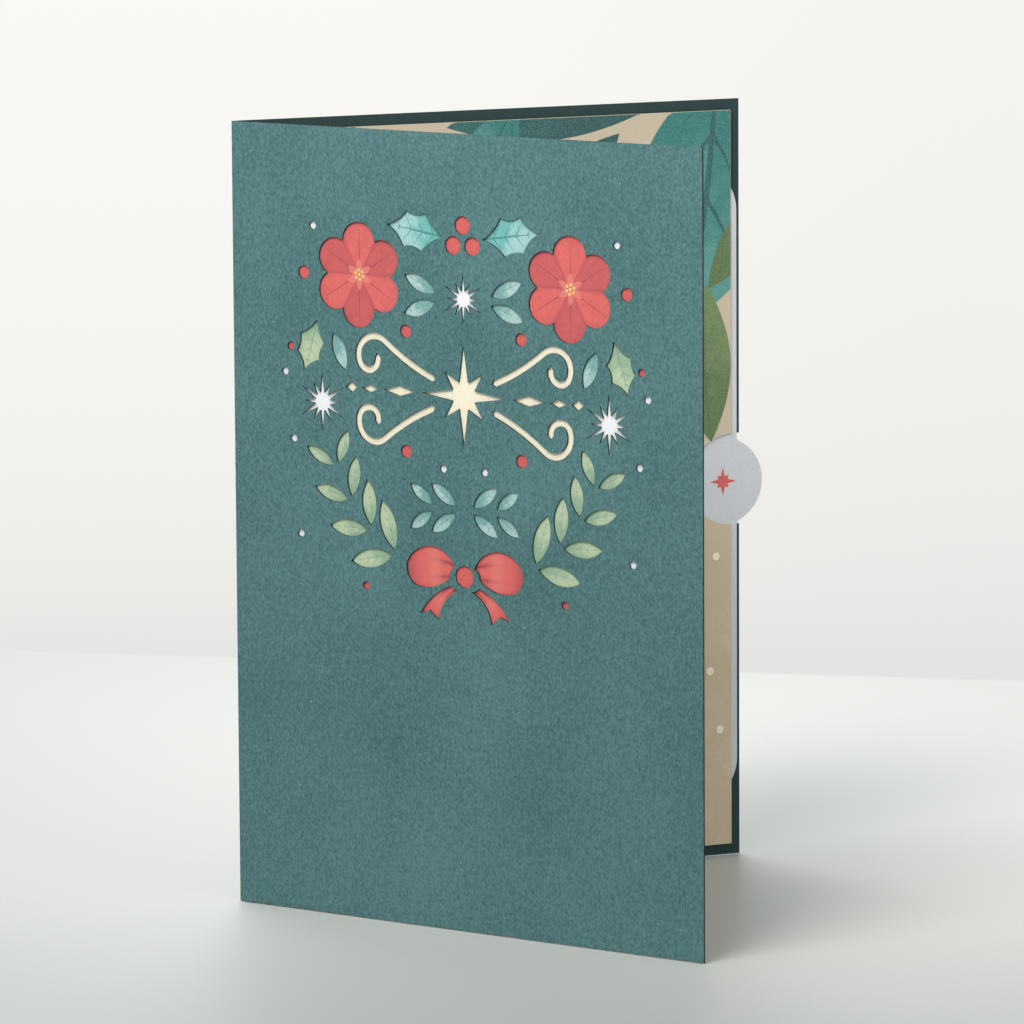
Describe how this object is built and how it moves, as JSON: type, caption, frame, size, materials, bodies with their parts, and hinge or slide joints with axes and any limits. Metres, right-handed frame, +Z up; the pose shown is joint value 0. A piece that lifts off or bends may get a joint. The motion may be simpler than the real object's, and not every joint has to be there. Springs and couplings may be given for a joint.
{
  "type": "pop up card",
  "caption": "Greeting card that stands half open: folded card cover with a garland of cut windows, printed liner, nested wreath pop-up and a pull-out note card with a round tab.",
  "frame": {"origin": "foot of the fold: the foremost point of the cover's bend, on the surface that the card stands on", "axes": "+Z up along the fold, +X along the bisector of the two pages towards the opening, +Y towards the back page"},
  "size_m": [0.1152, 0.13, 0.1778],
  "materials": {
    "felt_card": "felt-marked card, dyed through",
    "printed_board": "smooth printed board",
    "liner_paper": "matt printed paper",
    "note_paper": "smooth white card",
    "tape": "white foam tape",
    "popup_deep": "dyed paper",
    "popup_teal": "dyed paper",
    "popup_sage": "dyed paper",
    "petal_paper": "dyed paper",
    "heart_paper": "metallic gold paper"
  },
  "bodies": {
    "card": {"cover": "felt_card", "window_board": "printed_board", "liner": "liner_paper", "pocket_tape_bottom": "tape", "pocket_tape_top": "tape", "pocket_tape_fold": "tape", "popup_inner_layer": "popup_deep", "popup_middle_layer": "popup_teal", "popup_outer_layer": "popup_sage", "bloom_front_upper_petals": "petal_paper", "bloom_front_upper_heart": "heart_paper", "bloom_front_lower_petals": "petal_paper", "bloom_front_lower_heart": "heart_paper", "bloom_back_upper_petals": "petal_paper", "bloom_back_upper_heart": "heart_paper", "bloom_back_lower_petals": "petal_paper", "bloom_back_lower_heart": "heart_paper"},
    "note": {"note_card": "note_paper"}
  },
  "joints": [
    {"name": "note_slide", "type": "slide", "parent": "card", "child": "note", "axis": [0.866, 0.5, 0], "range_m": [0, 0.1]}
  ]
}
